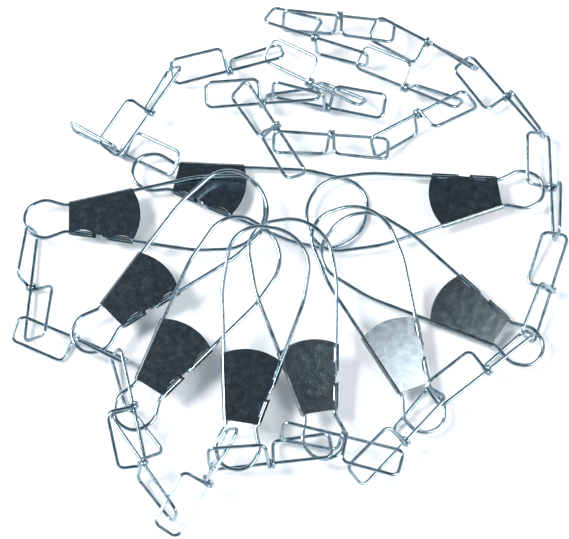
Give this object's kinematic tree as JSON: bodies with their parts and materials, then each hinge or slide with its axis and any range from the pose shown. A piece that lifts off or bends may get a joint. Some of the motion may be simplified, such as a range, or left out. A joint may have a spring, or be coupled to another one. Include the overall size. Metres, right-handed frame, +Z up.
{
  "type": "chain fish stringer",
  "caption": "Chain fish stringer: twisted wire links hooked in a row, with wire spring snaps whose arms latch under folded sheet clasps.",
  "frame": {"origin": "on the table, under the middle of the bounding box", "axes": "+Z up, +X to the right and +Y away in the picture"},
  "size_m": [0.2532, 0.2618, 0.0223],
  "materials": {
    "wire": "bright zinc plate",
    "clasp_sheet": "dull zinc plate"
  },
  "bodies": {
    "link_01": {"link_01": "wire"},
    "link_02": {"link_02": "wire"},
    "link_03": {"link_03": "wire"},
    "link_04": {"link_04": "wire"},
    "link_05": {"link_05": "wire"},
    "link_06": {"link_06": "wire"},
    "link_07": {"link_07": "wire"},
    "link_08": {"link_08": "wire"},
    "link_09": {"link_09": "wire"},
    "link_10": {"link_10": "wire"},
    "link_11": {"link_11": "wire"},
    "link_12": {"link_12": "wire"},
    "link_13": {"link_13": "wire"},
    "link_14": {"link_14": "wire"},
    "link_15": {"link_15": "wire"},
    "link_16": {"link_16": "wire"},
    "link_17": {"link_17": "wire"},
    "link_18": {"link_18": "wire"},
    "link_19": {"link_19": "wire"},
    "link_20": {"link_20": "wire"},
    "link_21": {"link_21": "wire"},
    "link_22": {"link_22": "wire"},
    "link_23": {"link_23": "wire"},
    "link_24": {"link_24": "wire"},
    "link_25": {"link_25": "wire"},
    "snap_1": {"snap_1_wire": "wire", "snap_1_clasp": "clasp_sheet"},
    "snap_1_arm": {"snap_1_arm": "wire"},
    "snap_2": {"snap_2_wire": "wire", "snap_2_clasp": "clasp_sheet"},
    "snap_2_arm": {"snap_2_arm": "wire"},
    "snap_3": {"snap_3_wire": "wire", "snap_3_clasp": "clasp_sheet"},
    "snap_3_arm": {"snap_3_arm": "wire"},
    "snap_4": {"snap_4_wire": "wire", "snap_4_clasp": "clasp_sheet"},
    "snap_4_arm": {"snap_4_arm": "wire"},
    "snap_5": {"snap_5_wire": "wire", "snap_5_clasp": "clasp_sheet"},
    "snap_5_arm": {"snap_5_arm": "wire"},
    "snap_6": {"snap_6_wire": "wire", "snap_6_clasp": "clasp_sheet"},
    "snap_6_arm": {"snap_6_arm": "wire"},
    "snap_7": {"snap_7_wire": "wire", "snap_7_clasp": "clasp_sheet"},
    "snap_7_arm": {"snap_7_arm": "wire"},
    "snap_8": {"snap_8_wire": "wire", "snap_8_clasp": "clasp_sheet"},
    "snap_8_arm": {"snap_8_arm": "wire"},
    "snap_9": {"snap_9_wire": "wire", "snap_9_clasp": "clasp_sheet"},
    "snap_9_arm": {"snap_9_arm": "wire"}
  },
  "joints": [
    {"name": "link_24_pivot", "type": "hinge", "parent": "link_25", "child": "link_24", "pos_m": [-0.09494, 0.0596, 0.00798], "axis": [-0.6124, 0.3536, 0.7071], "range_deg": [-15, 1]},
    {"name": "link_23_swing", "type": "hinge", "parent": "link_24", "child": "link_23", "pos_m": [-0.05617, 0.09544, 0.00859], "axis": [0, 0, 1], "range_deg": [-6, 15]},
    {"name": "link_22_swing", "type": "hinge", "parent": "link_23", "child": "link_22", "pos_m": [-0.00817, 0.10622, 0.00899], "axis": [0, 0, 1], "range_deg": [-3, 28]},
    {"name": "link_21_pivot", "type": "hinge", "parent": "link_22", "child": "link_21", "pos_m": [0.03849, 0.07657, 0.00894], "axis": [0, 0.7071, 0.7071], "range_deg": [0, 7]},
    {"name": "link_20_pivot", "type": "hinge", "parent": "link_21", "child": "link_20", "pos_m": [0.00176, 0.08412, 0.00816], "axis": [0.9239, 0, 0.3827], "range_deg": [-21, 0]},
    {"name": "link_19_pivot", "type": "hinge", "parent": "link_20", "child": "link_19", "pos_m": [-0.03312, 0.08338, 0.00917], "axis": [0.8001, -0.4619, 0.3827], "range_deg": [-10, 0]},
    {"name": "link_18_swing", "type": "hinge", "parent": "link_19", "child": "link_18", "pos_m": [-0.00325, 0.04796, 0.00965], "axis": [0, 0, 1], "range_deg": [-3, 6]},
    {"name": "link_17_pivot", "type": "hinge", "parent": "link_18", "child": "link_17", "pos_m": [0.04471, 0.05323, 0.00935], "axis": [-0.0687, -0.9824, 0.1736], "range_deg": [-40, 0]},
    {"name": "link_16_pivot", "type": "hinge", "parent": "link_17", "child": "link_16", "pos_m": [0.08452, 0.07965, 0.00935], "axis": [0.4774, -0.8613, 0.1737], "range_deg": [-30, 0]},
    {"name": "link_15_pivot", "type": "hinge", "parent": "link_16", "child": "link_15", "pos_m": [0.03424, 0.10172, 0.00882], "axis": [1, 0, 0], "range_deg": [-40, 0]},
    {"name": "link_14_pivot", "type": "hinge", "parent": "link_15", "child": "link_14", "pos_m": [-0.01124, 0.12589, 0.00844], "axis": [0.4412, 0.8297, -0.342], "range_deg": [-15, 0]},
    {"name": "link_13_swing", "type": "hinge", "parent": "link_14", "child": "link_13", "pos_m": [0.04405, 0.11652, 0.01], "axis": [0, 0, 1], "range_deg": [-1, 35]},
    {"name": "link_12_swing", "type": "hinge", "parent": "link_13", "child": "link_12", "pos_m": [0.08448, 0.09713, 0.00972], "axis": [0, 0, 1], "range_deg": [-1, 30]},
    {"name": "link_11_swing", "type": "hinge", "parent": "link_12", "child": "link_11", "pos_m": [0.11677, 0.06141, 0.00805], "axis": [0, 0, 1], "range_deg": [-1, 40]},
    {"name": "link_10_swing", "type": "hinge", "parent": "link_11", "child": "link_10", "pos_m": [0.12123, 0.01029, 0.00697], "axis": [0, 0, 1], "range_deg": [0, 40]},
    {"name": "link_09_swing", "type": "hinge", "parent": "link_10", "child": "link_09", "pos_m": [0.10578, -0.03892, 0.008], "axis": [0, 0, 1], "range_deg": [0, 40]},
    {"name": "link_08_swing", "type": "hinge", "parent": "link_09", "child": "link_08", "pos_m": [0.0629, -0.06696, 0.00937], "axis": [0, 0, 1], "range_deg": [0, 40]},
    {"name": "link_07_swing", "type": "hinge", "parent": "link_08", "child": "link_07", "pos_m": [0.03684, -0.10186, 0.01062], "axis": [0, 0, 1], "range_deg": [0, 40]},
    {"name": "link_06_swing", "type": "hinge", "parent": "link_07", "child": "link_06", "pos_m": [0.00594, -0.08729, 0.0105], "axis": [0, 0, 1], "range_deg": [-1, 4]},
    {"name": "link_05_swing", "type": "hinge", "parent": "link_06", "child": "link_05", "pos_m": [-0.03134, -0.08974, 0.00925], "axis": [0, 0, 1], "range_deg": [-1, 40]},
    {"name": "link_04_swing", "type": "hinge", "parent": "link_05", "child": "link_04", "pos_m": [-0.0526, -0.12523, 0.00927], "axis": [0, 0, 1], "range_deg": [-1, 40]},
    {"name": "link_03_swing", "type": "hinge", "parent": "link_04", "child": "link_03", "pos_m": [-0.07272, -0.08752, 0.00927], "axis": [0, 0, 1], "range_deg": [-3, 8]},
    {"name": "link_02_swing", "type": "hinge", "parent": "link_03", "child": "link_02", "pos_m": [-0.07631, -0.04909, 0.00763], "axis": [0, 0, 1], "range_deg": [-4, 8]},
    {"name": "link_01_swing", "type": "hinge", "parent": "link_02", "child": "link_01", "pos_m": [-0.12026, -0.0372, 0.00653], "axis": [0, 0, 1], "range_deg": [-2, 4]},
    {"name": "snap_1_pivot", "type": "hinge", "parent": "link_01", "child": "snap_1", "pos_m": [-0.11961, 0.01328, 0.00715], "axis": [-0.2582, -0.018, 0.9659], "range_deg": [-18, 1]},
    {"name": "snap_2_swing", "type": "hinge", "parent": "link_25", "child": "snap_2", "pos_m": [-0.05427, 0.04633, 0.00681], "axis": [0.0403, -0.0093, 0.9991], "range_deg": [-15, 6]},
    {"name": "snap_3_swing", "type": "hinge", "parent": "link_02", "child": "snap_3", "pos_m": [-0.08944, -0.03726, 0.00743], "axis": [-0.0202, -0.0438, 0.9988], "range_deg": [-3, 25]},
    {"name": "snap_4_swing", "type": "hinge", "parent": "link_04", "child": "snap_4", "pos_m": [-0.0692, -0.07357, 0.00906], "axis": [-0.0318, -0.049, 0.9983], "range_deg": [-1, 15]},
    {"name": "snap_5_swing", "type": "hinge", "parent": "link_05", "child": "snap_5", "pos_m": [-0.02413, -0.092, 0.01098], "axis": [-0.0161, -0.1018, 0.9947], "range_deg": [-25, 30]},
    {"name": "snap_6_swing", "type": "hinge", "parent": "link_07", "child": "snap_6", "pos_m": [0.01371, -0.08615, 0.00752], "axis": [0.053, -0.0997, 0.9936], "range_deg": [-20, 6]},
    {"name": "snap_7_swing", "type": "hinge", "parent": "link_08", "child": "snap_7", "pos_m": [0.06407, -0.06604, 0.00939], "axis": [0.0794, -0.0608, 0.995], "range_deg": [-1, 8]},
    {"name": "snap_8_swing", "type": "hinge", "parent": "link_09", "child": "snap_8", "pos_m": [0.10607, -0.03796, 0.00935], "axis": [0.0074, -0.0464, 0.9989], "range_deg": [-10, 0]},
    {"name": "snap_9_swing", "type": "hinge", "parent": "link_11", "child": "snap_9", "pos_m": [0.10734, 0.03418, 0.00541], "axis": [-0.0089, -0.0012, 1], "range_deg": [-6, 6]},
    {"name": "snap_1_arm_squeeze", "type": "hinge", "parent": "snap_1", "child": "snap_1_arm", "pos_m": [-0.01367, 0.02462, 0.00799], "axis": [0.0135, 0.0005, -0.9999], "range_deg": [0, 8], "stiffness_Nm_per_rad": 0.15},
    {"name": "snap_2_arm_squeeze", "type": "hinge", "parent": "snap_2", "child": "snap_2_arm", "pos_m": [0.03348, 0.02302, 0.00094], "axis": [-0.0403, 0.0093, -0.9991], "range_deg": [0, 8], "stiffness_Nm_per_rad": 0.15},
    {"name": "snap_3_arm_squeeze", "type": "hinge", "parent": "snap_3", "child": "snap_3_arm", "pos_m": [-0.01888, 0.03435, 0.012], "axis": [0.0202, 0.0438, -0.9988], "range_deg": [0, 8], "stiffness_Nm_per_rad": 0.15},
    {"name": "snap_4_arm_squeeze", "type": "hinge", "parent": "snap_4", "child": "snap_4_arm", "pos_m": [-0.0166, 0.01201, 0.01494], "axis": [0.0318, 0.049, -0.9983], "range_deg": [0, 8], "stiffness_Nm_per_rad": 0.15},
    {"name": "snap_5_arm_squeeze", "type": "hinge", "parent": "snap_5", "child": "snap_5_arm", "pos_m": [-0.01094, 0.00723, 0.02135], "axis": [0.0161, 0.1018, -0.9947], "range_deg": [0, 8], "stiffness_Nm_per_rad": 0.15},
    {"name": "snap_6_arm_squeeze", "type": "hinge", "parent": "snap_6", "child": "snap_6_arm", "pos_m": [-0.00611, 0.0119, 0.01842], "axis": [-0.053, 0.0997, -0.9936], "range_deg": [0, 8], "stiffness_Nm_per_rad": 0.15},
    {"name": "snap_7_arm_squeeze", "type": "hinge", "parent": "snap_7", "child": "snap_7_arm", "pos_m": [0.01993, 0.01946, 0.01302], "axis": [-0.0794, 0.0608, -0.995], "range_deg": [0, 8], "stiffness_Nm_per_rad": 0.15},
    {"name": "snap_8_arm_squeeze", "type": "hinge", "parent": "snap_8", "child": "snap_8_arm", "pos_m": [0.01742, 0.01038, 0.00738], "axis": [-0.0074, 0.0464, -0.9989], "range_deg": [0, 8], "stiffness_Nm_per_rad": 0.15},
    {"name": "snap_9_arm_squeeze", "type": "hinge", "parent": "snap_9", "child": "snap_9_arm", "pos_m": [0.00807, 0.01771, 0.00451], "axis": [0.0089, 0.0012, -1], "range_deg": [0, 8], "stiffness_Nm_per_rad": 0.15}
  ]
}
